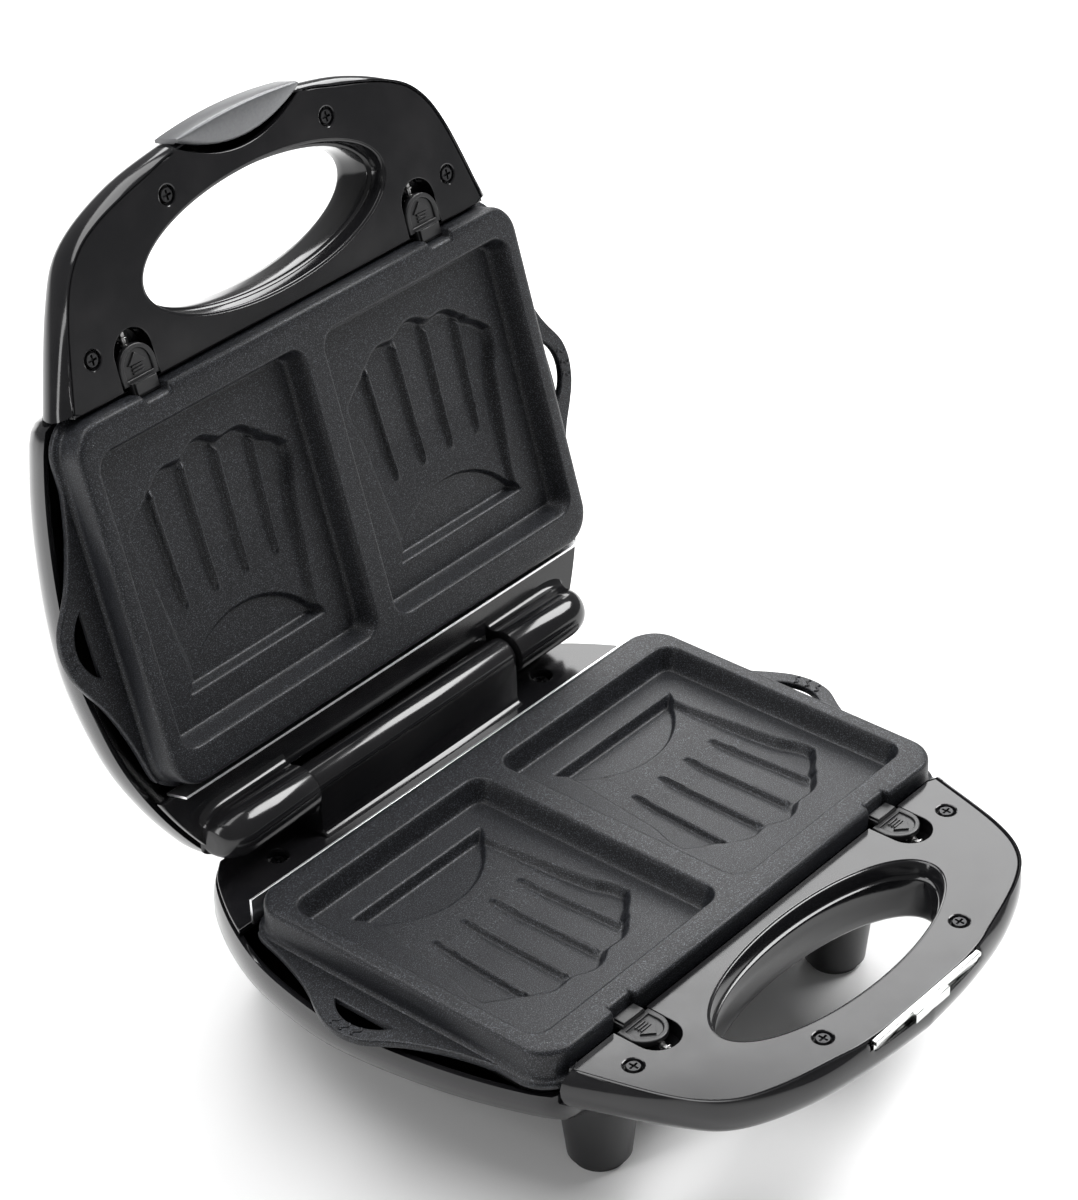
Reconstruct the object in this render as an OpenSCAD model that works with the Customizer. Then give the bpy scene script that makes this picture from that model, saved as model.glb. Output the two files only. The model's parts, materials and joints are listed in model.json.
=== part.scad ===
// Two-place toaster press: two hinged halves, each with a cast plate, shell and handle.
// Units are millimetres. Origin: table plane, under the middle of the open object.
// +X to the side, +Y to the hinge at the back, +Z up. The lid stands open at rest.

/* [Overall] */
// Height of the plane where the two plates meet when shut
part_z = 81; // [80.5:0.1:82]
// Half of the gap between the two plate rims when shut
rim_gap = 0.4; // [0.2:0.1:0.8]
// Angle of the open lid from shut, degrees
open_angle = 105.5; // [96:0.5:106]
// Height of the hinge axis
hinge_z = 86.1; // [85:0.1:86.5]
// Distance of the hinge axis behind the drawing's own zero
hinge_y = 68.7; // [68:0.1:69.2]
// Radius of the hinge pins
pin_r = 3; // [2.4:0.1:3.4]
// Running clearance on the hinge pins, radial
pin_fit = 0.05; // [0.02:0.01:0.1]

/* [Plate] */
// Width of a plate over its rim
plate_w = 230; // [228:1:231]
// Corner radius of the plate rim
plate_r = 13; // [9:1:16]
// Distance from the plate rim down to a pocket floor
pocket_depth = 9; // [7:0.5:10]
// Width of the divider between the two pockets
divider_w = 9; // [7:0.5:14]
// Depth of the puffed part of the hat below the pocket floor
hat_depth = 1.8; // [1:0.1:2.2]
// Depth of the hat band below the pocket floor
band_depth = 3; // [2.4:0.1:3.2]
// Height of the side flange and its tabs
tab_z = 68.6; // [68:0.1:69.5]
// Reach of the side tabs from the middle
tab_reach = 137.8; // [134:0.2:140]

/* [Body] */
// Height of the handle panel
panel_z = 74; // [73:0.2:75]
// Height of the rear deck
deck_z = 66.1; // [65.5:0.1:66.6]
// Height of the underside of the shell
shell_bottom = 30; // [26:1:34]
// Wall thickness of the shell
wall = 2.4; // [2:0.1:2.8]
// Thickness of the handle panel
panel_t = 3; // [2.4:0.2:3.2]
// Half length of the handle opening
grip_a = 62; // [58:1:64]
// Half depth of the handle opening
grip_b = 24; // [21:0.5:25]
// Radius of the foot at the table
foot_r = 12; // [10:0.5:14]
// Height of the rubber pads under the feet
pad_h = 3; // [2:0.5:4]

/* [Latches] */
// Distance of a latch from the middle
latch_x = 74.5; // [72:0.5:77]
// Width of a latch button
latch_w = 17; // [15:0.5:18]
// Travel of a latch button toward the handle
latch_travel = 5; // [3.5:0.5:5.5]
// Sliding clearance around a latch button
latch_fit = 0.3; // [0.15:0.05:0.5]
// Half width of the lid clip
clip_w = 31; // [28:0.5:32]
// Travel of the lid clip to lock over the catch
clip_travel = 11; // [9:0.5:11]
// Clearance around the lid clip
clip_fit = 0.3; // [0.15:0.05:0.5]

/* [Hidden] */
$fn = 48;
plate_back = 42;
plate_front = -100.5;
panel_back = -102;
opening_y = -132.5;
rim_z = part_z - rim_gap;
flange_z0 = tab_z - 3;
floor_z = rim_z - pocket_depth;
tray_z0 = floor_z - band_depth - 2.4;
pocket_x0 = divider_w / 2;
pocket_x1 = plate_w / 2 - 6.5;
pocket_y0 = -89;
pocket_y1 = 29;
// from the drawing's own zero to the middle of the open object
row_y = 11.63;
front_screws = [[92.4, -118.2], [40.8, -159.7]];
deck_screw = [76, 66.5];
foot_x = 71;
foot_y0 = -84;
foot_y1 = 72;
foot_top = 46;
panel_z0 = panel_z - panel_t;
handle_z0 = panel_z - 19;
barrel_r = 6.5;
barrel_x = 56;
ear_x0 = barrel_x + 1;
ear_x1 = 98;
ear_r = 9.4;
hinge_u = 2 * part_z - hinge_z;
seat_y = latch_travel + latch_fit;
clip_back = -164;
clip_top = panel_z + 2.6;
clip_lip = part_z - 1;
plan = [[82, 92], [73, 102], [52, 115], [27, 125], [-3, 130.5], [-23, 131], [-48, 128],
        [-75, 122], [-101, 113], [-138, 98], [-157, 85], [-169, 60], [-175, 30], [-177.5, 0]];
panel_plan = [[-102, 107], [-136, 97], [-153, 87], [-162, 72], [-169, 47], [-172.5, 31],
              [-174.5, 0]];

// ---- small helpers ----
function cr(a, b, c, d, t) = 0.5 * ((2 * b) + (c - a) * t
    + (2 * a - 5 * b + 4 * c - d) * t * t + (3 * b - a - 3 * c + d) * t * t * t);
function smooth(p, n) = let (m = len(p) - 1) concat(
    [for (i = [0 : m - 1]) for (k = [0 : n - 1])
        cr(p[max(i - 1, 0)], p[i], p[i + 1], p[min(i + 2, m)], k / n)], [p[m]]);
// Moves each point of a half outline inward along its normal by d
function inward(p, d) = let (m = len(p) - 1)
    [for (i = [0 : m]) let (t = p[min(i + 1, m)] - p[max(i - 1, 0)], l = norm(t))
        [p[i][0] + (i == 0 ? -d : d * abs(t[1]) / l * (t[1] < 0 ? 1 : -1)),
         i == m ? 0 : max(0, p[i][1] - d * abs(t[0]) / l)]];
// Closed outline from a half outline given as [y, half width]
function mirrored(p) = concat([for (q = p) [q[1], q[0]]],
    [for (i = [len(p) - 1 : -1 : 0]) if (p[i][1] > 0.01) [-p[i][1], p[i][0]]]);
function below(p, y) = [for (q = p) if (q[0] <= y) q];
function above(p, y) = [for (q = p) if (q[0] >= y) q];
function ring(cx, cy, r, a0, a1, n) =
    [for (i = [0 : n]) let (a = a0 + (a1 - a0) * i / n) [cx + r * cos(a), cy + r * sin(a)]];

module slab(z, pts, h = 0.01) translate([0, 0, z]) linear_extrude(h) polygon(pts);
module box(x0, x1, y0, y1, z0, z1) translate([x0, y0, z0]) cube([x1 - x0, y1 - y0, z1 - z0]);
module pair() {
  children();
  mirror([1, 0, 0]) children();
}
module rrect(x0, x1, y0, y1, r, z0, z1) {
  box(x0 + r, x1 - r, y0, y1, z0, z1);
  box(x0, x1, y0 + r, y1 - r, z0, z1);
  for (x = [x0 + r, x1 - r], y = [y0 + r, y1 - r])
    translate([x, y, z0]) cylinder(r = r, h = z1 - z0);
}
function rr(x0, x1, y0, y1, r) = concat(ring(x1 - r, y1 - r, r, 0, 90, 6),
    ring(x0 + r, y1 - r, r, 90, 180, 6), ring(x0 + r, y0 + r, r, 180, 270, 6),
    ring(x1 - r, y0 + r, r, 270, 360, 6));
function oval(a, b, n = 56) = [for (i = [0 : n - 1])
    [a * cos(360 * i / n), opening_y + b * sin(360 * i / n)]];
module x_cyl(x, y, z, r, h, r2 = -1)
  translate([x, y, z]) rotate([0, 90, 0]) cylinder(r1 = r, r2 = r2 < 0 ? r : r2, h = h);
// A lid part: turns a lower-style part over the parting plane, then swings it open
module lid() translate([0, hinge_y, hinge_z]) rotate([-open_angle, 0, 0])
  translate([0, -hinge_y, 2 * part_z - hinge_z]) rotate([0, 180, 0]) children();

// ---- shell ----
// Slice of the body at height z, inset by d, moved back by e and cut off between y0 and y1
module slice(z, d, y0, y1, e = 0) translate([0, 0, z]) linear_extrude(0.01) intersection() {
  translate([0, e]) polygon(mirrored(inward(smooth(plan, 3), d)));
  translate([-200, y0]) square([400, y1 - y0]);
}
// b is the bulge of the back wall
module tub_solid(g, b) hull() {
  slice(63 + g / 2, g, -101 + g, 95);
  slice(50, 3 + g, -100 + g, 95, 6 * b);
  slice(39, 11 + g, -96 + g, 95, 17 * b);
  slice(shell_bottom + g, 27 + g, -84 + g, 95, 26 * b);
}
module handle_solid(g) hull() {
  slice(g > 0 ? panel_z0 - 0.6 : panel_z, g, -190, -99 - g);
  slice(panel_z - 10, 0.6 + g, -190, -99 - g);
  slice(handle_z0 + g, 7 + g, -190, -92 - g);
}
module shell(lower) {
  b = lower ? 1 : 0.5;
  difference() {
    union() {
      tub_solid(0, b);
      handle_solid(0);
    }
    tub_solid(wall, b);
    handle_solid(wall);
    // seat of the handle panel, and room for the plate behind it
    slab(panel_z0 - 0.7, mirrored(inward(smooth(panel_plan, 3), -0.3)), 20);
    box(-120, 120, -101.9, -60, 62, 90);
    slab(40, oval(grip_a + 0.1, grip_b + 0.1), 50);
    // front notch for the clip and catch
    box(-clip_w - 0.6, clip_w + 0.6, -190, -173.2, 61, 90);
    if (lower) {
      for (x = [-foot_x, foot_x], y = [foot_y0, foot_y1])
        translate([x, y, 20]) cylinder(r = 15.1, h = foot_top - 19.9);
      translate([0, 70, 50]) rotate([-90, 0, 0]) cylinder(r = 6.05, h = 30);
    } else {
      // relief for the hinge block of the lower half
      box(-barrel_x - 2.5, barrel_x + 2.5, 66, 100, 56, 90);
      for (x = [-14, 14]) translate([x, -60, 20]) cylinder(r = 4.05, h = 40);
    }
  }
  // screw bosses
  pair() for (p = front_screws) translate([p[0], p[1], handle_z0 + wall - 0.6]) difference() {
    cylinder(r = 4, h = panel_z0 - handle_z0 - wall + 0.6);
    translate([0, 0, 4]) cylinder(r = 1.55, h = 30);
  }
  pair() translate([deck_screw[0], deck_screw[1], foot_top + 0.1]) difference() {
    cylinder(r = 4.6, h = deck_z - 6.1 - foot_top);
    translate([0, 0, 2]) cylinder(r = 1.55, h = 30);
    }
  // rib that carries the two deck bosses from the back wall
  pair() box(deck_screw[0] - 1, deck_screw[0] + 1, deck_screw[1] + 4, lower ? 84.4 : 81.6,
             foot_top + 0.1, 50);
}

// ---- handle panel with latch trays ----
module latch_slot(g, y0, z0, z1) {
  translate([latch_x, y0, z0]) cylinder(r = latch_w / 2 + g, h = z1 - z0);
  box(latch_x - latch_w / 2 - g, latch_x + latch_w / 2 + g, y0, panel_back + 1, z0, z1);
}
latch_cy = panel_back - 15 + latch_w / 2;
module panel() {
  o = mirrored(smooth(panel_plan, 3));
  difference() {
    union() {
      slab(panel_z0, o, panel_t);
      pair() {
        translate([latch_x, latch_cy - seat_y, panel_z - 8.4]) cylinder(r = latch_w / 2 + 2.2, h = 6);
        box(latch_x - latch_w / 2 - 2.2, latch_x + latch_w / 2 + 2.2, latch_cy - seat_y,
            panel_back, panel_z - 8.4, panel_z - 2);
      }
    }
    slab(50, oval(grip_a + 0.1, grip_b + 0.1), 50);
    pair() {
      latch_slot(latch_fit, latch_cy - seat_y, panel_z - 6.6, panel_z + 1);
      for (p = front_screws) translate([p[0], p[1], 60]) {
        cylinder(r = 1.7, h = 20);
        translate([0, 0, panel_z - 60 - 2]) cylinder(r = 3.7, h = 3);
      }
    }
    box(-clip_w - 0.6, clip_w + 0.6, -190, -173.2, 61, 90);
  }
}
// The lid panel also has a lens-shaped well for the clip
module clip_well(g, z0, z1) {
  r = (clip_w * clip_w + 100) / 20;
  slab(z0, concat([[-clip_w - g, -190], [clip_w + g, -190]],
    ring(0, clip_back - 1 - r + g, r + 1, 90 - asin((clip_w + g) / (r + 2)),
         90 + asin((clip_w + g) / (r + 2)), 14)), z1 - z0);
}

// ---- rear deck ----
module deck(lower) {
  s = above(smooth(plan, 3), 46);
  difference() {
    union() {
      slab(deck_z - 3, mirrored(inward(s, 0.6)), 3);
      pair() translate([deck_screw[0], deck_screw[1], deck_z - 6]) cylinder(r = 6.6, h = 4);
    }
    pair() translate([deck_screw[0], deck_screw[1], deck_z - 4]) cylinder(r = 4.5, h = 10);
    pair() translate([deck_screw[0], deck_screw[1], deck_z - 10]) cylinder(r = 1.7, h = 10);
    if (!lower) box(-barrel_x - 2.5, barrel_x + 2.5, 60, 100, 50, 90);
  }
  if (lower) {
    difference() {
      union() {
        box(-54, 54, 70.6, 76.6, deck_z - 0.5, hinge_z);
        x_cyl(-barrel_x, hinge_y, hinge_z, barrel_r, 2 * barrel_x);
      }
      pair() x_cyl(barrel_x - 16, hinge_y, hinge_z, pin_r, 20);
    }
  } else pair() difference() {
    union() {
      x_cyl(ear_x0, hinge_y, hinge_u, ear_r, 22);
      x_cyl(ear_x0 + 22, hinge_y, hinge_u, ear_r, ear_x1 - ear_x0 - 22, 4.5);
      box(ear_x0 + 2, ear_x1 - 6, hinge_y - 6, hinge_y + 6, deck_z - 0.5, hinge_u - 1);
    }
    x_cyl(ear_x0 - 1, hinge_y, hinge_u, pin_r + pin_fit, 20);
  }
}

// ---- cooking plate ----
module hat(cx) translate([cx, plate_back, 0]) {
  // puffed crown, cut below the pocket floor, with four ribs left standing
  difference() {
    translate([0, 0, floor_z - hat_depth]) linear_extrude(hat_depth + 1) union() {
      polygon([[-33, -40], [33, -40], [39, -92], [30, -101], [-30, -101], [-39, -92]]);
      translate([0, -104.5]) circle(r = 11);
      for (k = [-1, 1]) {
        translate([17 * k, -101.5]) circle(r = 10.5);
        translate([30 * k, -93]) circle(r = 10);
      }
    }
    for (x = [-25, -8.3, 8.3, 25])
      translate([0, 0, floor_z - hat_depth - 1]) linear_extrude(hat_depth + 0.6)
        polygon([[x * 0.93 - 1, -58], [x * 0.93 + 1, -58], [x * 1.06 + 2, -120],
                 [x * 1.06 - 2, -120]]);
  }
  // hat band, a deeper half moon toward the hinge
  translate([0, 0, floor_z - band_depth]) linear_extrude(band_depth + 1) intersection() {
    translate([0, -9.5]) circle(r = 40.5);
    translate([-37, -51]) square([74, 23]);
  }
}
module tab() {
  k = tab_reach - 113;
  f = smooth([[36, 3.5 / 24.8], [22, 7 / 24.8], [1, 15 / 24.8], [-12.5, 22.7 / 24.8], [-24, 1],
              [-34.5, 21.7 / 24.8], [-48, 13.4 / 24.8], [-62, 8 / 24.8], [-78, 3.5 / 24.8],
              [-90, 2 / 24.8]], 4);
  difference() {
    slab(flange_z0, concat([[108, 40]], [for (q = f) [113 + k * q[1], q[0]]], [[108, -92]]), 3);
    // D-shaped slot
    intersection() {
      box(tab_reach - 12.3, tab_reach, -40, -6, 50, 90);
      translate([tab_reach - 25.5, -22.8, 50]) cylinder(r = 19.4, h = 40);
    }
  }
  // three raised heat bars on the tab
  for (y = [-30, -23, -16]) box(tab_reach - 5.2, tab_reach - 2, y - 0.9, y + 0.9, tab_z - 0.1, tab_z + 0.6);
}
module plate() {
  w = plate_w / 2;
  difference() {
    union() {
      difference() {
        rrect(-w, w, plate_front, plate_back, plate_r, flange_z0, rim_z);
        rrect(-w + 2.6, w - 2.6, plate_front + 2.6, plate_back - 2.6, plate_r - 2.6,
              flange_z0 - 1, rim_z - 3);
      }
      for (x = [-1, 1]) hull() {
        slab(rim_z - 1, rr(min(x * (pocket_x0 - 2), x * (pocket_x1 + 2)),
             max(x * (pocket_x0 - 2), x * (pocket_x1 + 2)), pocket_y0 - 2, pocket_y1 + 2, 8));
        slab(tray_z0, rr(min(x * (pocket_x0 + 1.5), x * (pocket_x1 - 1.5)),
             max(x * (pocket_x0 + 1.5), x * (pocket_x1 - 1.5)), pocket_y0 + 1.5, pocket_y1 - 1.5, 7));
      }
      pair() tab();
      pair() translate([56.5, -20, tray_z0 - 3]) cylinder(r = 4.2, h = 4);
    }
    for (x = [-1, 1]) hull() {
      slab(rim_z + 0.2, rr(min(x * pocket_x0, x * pocket_x1), max(x * pocket_x0, x * pocket_x1),
           pocket_y0, pocket_y1, 7));
      slab(floor_z, rr(min(x * (pocket_x0 + 3.4), x * (pocket_x1 - 3.4)),
           max(x * (pocket_x0 + 3.4), x * (pocket_x1 - 3.4)), pocket_y0 + 3.4, pocket_y1 - 3.4, 6));
    }
    hat(-56.5);
    hat(56.5);
    // notches for the latch noses
    pair() box(latch_x - 6.4, latch_x + 6.4, -110, plate_front + 2.7, tab_z + 3, rim_z + 1);
    pair() translate([56.5, -20, tray_z0 - 5]) cylinder(r = 1.55, h = 6);
  }
}

// ---- heating parts under a plate ----
module element() {
  z = tray_z0 - 3.4;
  for (x = [-85, 85]) translate([x, -58, z]) rotate([-90, 0, 0]) cylinder(r = 3, h = 73);
  for (x = [-28, 28]) translate([x, -58, z]) rotate([-90, 0, 0]) cylinder(r = 3, h = 59);
  pair() translate([56.5, -58, z]) rotate([0, 0, 180]) rotate_extrude(angle = 180)
    translate([28.5, 0]) circle(r = 3);
  translate([0, 1, z]) rotate_extrude(angle = 180) translate([28, 0]) circle(r = 3);
}
module element_clips() {
  z = tray_z0 - 3.4;
  for (x = [-85, -28, 28, 85], y = [-45, -8]) translate([x, y, z]) difference() {
    box(-4.6, 4.6, -4, 4, -4.6, 3.3);
    translate([0, -5, 0]) rotate([-90, 0, 0]) cylinder(r = 3.05, h = 10);
    box(-3.05, 3.05, -5, 5, 0, 5);
  }
}
module terminals() {
  z = tray_z0 - 3.4;
  for (x = [-85, 85]) translate([x, 15.1, z]) rotate([-90, 0, 0]) {
    cylinder(r = 3.2, h = 9);
    cylinder(r = 1.4, h = 17);
  }
}
module reflector() {
  // shallow aluminium tray under the element, its back edge showing behind the plate
  zr = tray_z0 - 12;
  difference() {
    rrect(-108, 108, -94, 34, 8, zr, zr + 6);
    rrect(-107.2, 107.2, -93.2, 33.2, 7.2, zr + 0.8, zr + 7);
    for (x = [-56.5, 56.5]) translate([x, -20, zr - 1]) cylinder(r = 3.2, h = 4);
  }
  box(-99, 99, 44, 44.8, zr, 67.6);
  box(-90, 90, 33.2, 44.8, zr, zr + 0.8);
}
module studs() for (x = [-56.5, 56.5]) translate([x, -20, 0]) {
  translate([0, 0, tray_z0 - 14.6]) cylinder(r = 1.5, h = 13);
  translate([0, 0, tray_z0 - 14.9]) cylinder(r = 4.4, h = 2.8);
}
module thermostat() {
  z = tray_z0 - 6.2;
  translate([0, -20, z]) cylinder(r = 8, h = 5.9);
  box(-11, 11, -21.5, -18.5, z - 3, z + 0.5);
}

// ---- screws, springs, latches ----
module panhead(z, r, d) {
  difference() {
    translate([0, 0, z]) cylinder(r1 = r, r2 = r - 0.8, h = 1.8);
    for (a = [0, 90]) rotate([0, 0, a]) box(-r * 0.6, r * 0.6, -0.45, 0.45, z + 0.7, z + 2);
  }
  translate([0, 0, z - d]) cylinder(r = 1.5, h = d + 0.1);
}
module panel_screws() pair() for (p = front_screws) translate([p[0], p[1], 0])
  panhead(panel_z - 2, 3.3, 11);
module deck_screws() pair() translate([deck_screw[0], deck_screw[1], 0])
  panhead(deck_z - 4, 3.4, 10);
module latch() {
  z1 = panel_z + 0.4;
  difference() {
    union() {
      intersection() {
        translate([latch_x, latch_cy, panel_z - 6.2]) cylinder(r = latch_w / 2, h = z1 - panel_z + 6.2);
        box(latch_x - latch_w, latch_x + latch_w, latch_cy - latch_w, panel_back - 1.2, 50, 90);
      }
      box(latch_x - latch_w / 2, latch_x + latch_w / 2, latch_cy, panel_back - 1.2, panel_z - 6.2, z1);
      box(latch_x - 5.9, latch_x + 5.9, panel_back - 2, plate_front + 2.2, panel_z - 2, panel_z + 1.6);
    }
    // well with a raised arrow toward the handle
    difference() {
      translate([latch_x, latch_cy + 0.5, z1 - 0.7]) cylinder(r = 5.6, h = 2);
      slab(z1 - 1, [[latch_x, latch_cy - 3.4], [latch_x + 3.6, latch_cy + 0.6],
                    [latch_x + 1.3, latch_cy + 0.6], [latch_x + 1.3, latch_cy + 4],
                    [latch_x - 1.3, latch_cy + 4], [latch_x - 1.3, latch_cy + 0.6],
                    [latch_x - 3.6, latch_cy + 0.6]], 0.9);
    }
    // socket for the return spring
    translate([latch_x, latch_cy + 1.5, panel_z - 4]) rotate([90, 0, 0]) cylinder(r = 1.8, h = 20);
  }
}
module latch_spring() {
  // four closed turns drawn as rings on a core, between the button and its tray
  y0 = latch_cy - seat_y - latch_w / 2 - latch_fit + 0.1;
  y1 = latch_cy + 1.4;
  n = 6;
  for (k = [0 : n - 1]) translate([latch_x, y0 + 0.4 + (y1 - y0 - 0.8) * k / (n - 1), panel_z - 4])
    rotate([90, 0, 0]) rotate_extrude() translate([1.2, 0]) circle(r = 0.35, $fn = 16);
  translate([latch_x, y0, panel_z - 4]) rotate([-90, 0, 0]) cylinder(r = 0.9, h = y1 - y0);
}
module collar() {
  // flared lining of the finger opening, held between panel and shell
  difference() {
    union() {
      slab(handle_z0 + 0.6, oval(grip_a, grip_b), panel_z - handle_z0 - 0.6);
    }
    slab(handle_z0 - 1, oval(grip_a - 2.6, grip_b - 2.6), panel_z - handle_z0 - 5);
    slab(panel_z - 6.2, oval(grip_a - 1.4, grip_b - 1.4), 10);
  }
}
module clip() {
  w = clip_w - clip_fit;
  r = (clip_w * clip_w + 100) / 20;
  front_r = 240;
  // lens-shaped cap over the edge of the handle
  intersection() {
    box(-w, w, -182, -160, clip_top - 3, clip_top);
    translate([0, front_r - 179.7, clip_top - 3]) cylinder(r = front_r, h = 3, $fn = 240);
    translate([0, -168.5 - r, clip_top - 3]) cylinder(r = r, h = 3, $fn = 120);
  }
  // front wall that slides down over the catch
  intersection() {
    difference() {
      translate([0, front_r - 179.7, 62]) cylinder(r = front_r, h = clip_lip - 62, $fn = 240);
      translate([0, front_r - 177.7, 50]) cylinder(r = front_r, h = 50, $fn = 240);
    }
    box(-w + 1.5, w - 1.5, -182, -160, 60, 90);
  }
  // guide tongues inside the handle
  pair() box(14, 20, -178, -174, 62, clip_top - 1);
}
module catch_plate() {
  w = clip_w + 0.6;
  box(-w, w, -174.8, -173.3, 62, panel_z - 0.6);
  box(-w, w, -175.4, -173.3, panel_z - 2.1, panel_z - 0.1);
  box(-10, 10, -177, -174, panel_z - 5.4, panel_z - 1.1);
}

// ---- the named parts ----
// every piece is drawn about the handle and hinge, then moved so that the row's origin is centred
module tint(c) color(c) translate([0, row_y, 0]) children();
module c_black() tint([0.05, 0.05, 0.055]) children();
module c_plate() tint([0.13, 0.14, 0.16]) children();
module c_metal() tint([0.7, 0.71, 0.73]) children();
module lower_shell() c_black() shell(true);
module lower_handle_panel() c_black() panel();
module lower_rear_deck() c_black() deck(true);
module lower_plate() c_plate() plate();
module lower_reflector() c_metal() reflector();
module lower_element() tint([0.45, 0.43, 0.42]) element();
module lower_element_clips() c_metal() element_clips();
module lower_element_terminals() tint([0.85, 0.83, 0.78]) terminals();
module lower_thermostat() tint([0.75, 0.7, 0.62]) thermostat();
module lower_panel_screws() c_black() panel_screws();
module lower_deck_screws() c_black() deck_screws();
module lower_plate_studs() c_metal() studs();
module lower_collar() c_black() collar();
module terminal_block() tint([0.85, 0.85, 0.8]) difference() {
  box(-18, 18, 50, 62, shell_bottom + wall + 0.02, shell_bottom + wall + 12);
  for (x = [-12, 0, 12]) translate([x, 56, shell_bottom + 8]) cylinder(r = 2, h = 20);
}
module cord_gland() c_black() difference() {
  union() {
    translate([0, 76, 50]) rotate([-90, 0, 0]) cylinder(r = 6, h = 13.4);
    translate([0, 88.2, 50]) rotate([-90, 0, 0]) cylinder(r = 8.4, h = 2);
    translate([0, 76, 50]) rotate([-90, 0, 0]) cylinder(r = 7.4, h = 3);
  }
  translate([0, 70, 50]) rotate([-90, 0, 0]) cylinder(r = 3.6, h = 30);
}
module feet() c_black() for (x = [-foot_x, foot_x], y = [foot_y0, foot_y1]) translate([x, y, 0])
  difference() {
    union() {
      translate([0, 0, pad_h]) cylinder(r1 = foot_r, r2 = 15, h = 30 - pad_h);
      translate([0, 0, 30]) cylinder(r = 15, h = foot_top - 30);
    }
    translate([0, 0, -1]) cylinder(r = 5, h = 12);
    translate([0, 0, 10]) cylinder(r = 1.55, h = 24);
  }
module foot_pads() tint([0.08, 0.08, 0.08])
  for (x = [-foot_x, foot_x], y = [foot_y0, foot_y1]) translate([x, y, 0]) difference() {
    cylinder(r1 = foot_r - 2, r2 = foot_r - 1, h = pad_h);
    translate([0, 0, -1]) cylinder(r = 5, h = 9);
  }
module foot_screws() c_metal()
  for (x = [-foot_x, foot_x], y = [foot_y0, foot_y1]) translate([x, y, 0]) {
    translate([0, 0, 8.6]) cylinder(r = 3.4, h = 2.3);
    translate([0, 0, 10]) cylinder(r = 1.5, h = 20);
  }
module hinge_pins() c_metal() pair() x_cyl(barrel_x - 16, hinge_y, hinge_z, pin_r, 34);
module latch_catch() tint([0.9, 0.9, 0.91]) catch_plate();
module lower_latch_left() c_black() mirror([1, 0, 0]) latch();
module lower_latch_right() c_black() latch();
module lower_spring_left() c_metal() mirror([1, 0, 0]) latch_spring();
module lower_spring_right() c_metal() latch_spring();
module upper_shell() c_black() lid() shell(false);
module upper_handle_panel() c_black() lid() difference() {
  panel();
  clip_well(0.6, 50, 90);
}
module upper_rear_deck() c_black() lid() deck(false);
module upper_plate() c_plate() lid() plate();
module upper_reflector() c_metal() lid() reflector();
module upper_element() tint([0.45, 0.43, 0.42]) lid() element();
module upper_element_clips() c_metal() lid() element_clips();
module upper_element_terminals() tint([0.85, 0.83, 0.78]) lid() terminals();
module thermal_fuse() tint([0.8, 0.75, 0.6]) lid()
  translate([-14, -20, tray_z0 - 3]) rotate([0, 90, 0]) {
    cylinder(r = 2.4, h = 28);
    translate([0, 0, -8]) cylinder(r = 0.7, h = 44);
  }
module upper_panel_screws() c_black() lid() panel_screws();
module upper_deck_screws() c_black() lid() deck_screws();
module upper_plate_studs() c_metal() lid() studs();
module upper_collar() c_black() lid() collar();
module indicator_board() tint([0.1, 0.35, 0.15]) lid()
  box(-22, 22, -70, -50, shell_bottom + wall + 4.2, shell_bottom + wall + 5.8);
module lamp(x) translate([x, -60, 0]) {
  translate([0, 0, shell_bottom - 0.8]) cylinder(r = 4, h = wall + 4.9);
}
module indicator_red() tint([0.7, 0.05, 0.04]) lid() lamp(14);
module indicator_green() tint([0.05, 0.55, 0.1]) lid() lamp(-14);
module upper_latch_left() c_black() lid() latch();
module upper_latch_right() c_black() lid() mirror([1, 0, 0]) latch();
module upper_spring_left() c_metal() lid() latch_spring();
module upper_spring_right() c_metal() lid() mirror([1, 0, 0]) latch_spring();
module lid_clip() tint([0.42, 0.43, 0.44]) lid() clip();

lower_shell();
lower_handle_panel();
lower_rear_deck();
lower_plate();
lower_reflector();
lower_element();
lower_element_clips();
lower_element_terminals();
lower_thermostat();
lower_panel_screws();
lower_deck_screws();
lower_plate_studs();
lower_collar();
terminal_block();
cord_gland();
feet();
foot_pads();
foot_screws();
hinge_pins();
latch_catch();
lower_latch_left();
lower_latch_right();
lower_spring_left();
lower_spring_right();
upper_shell();
upper_handle_panel();
upper_rear_deck();
upper_plate();
upper_reflector();
upper_element();
upper_element_clips();
upper_element_terminals();
thermal_fuse();
upper_panel_screws();
upper_deck_screws();
upper_plate_studs();
upper_collar();
indicator_board();
indicator_red();
indicator_green();
upper_latch_left();
upper_latch_right();
upper_spring_left();
upper_spring_right();
lid_clip();
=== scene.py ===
# %% [markdown]
# # A two-place toaster press, standing open
#
# The real object is two shallow plastic shells on one hinge. Each shell carries a coated
# aluminium plate with two pockets, a handle with a finger opening, two sliding latches
# that hold the plate, and a rear deck. The lid also has a grey clip. The hinge, the
# opening angle, the plate's rim and the shell's bottom come from the CAD frame. The other
# sizes are named here in the same millimetres. This script adds the soft edges, the
# moulded forms and the finishes.

# %% Load the frame and keep its box
import json
import math

import bpy
import numpy as np
from mathutils import Matrix, Vector


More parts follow.
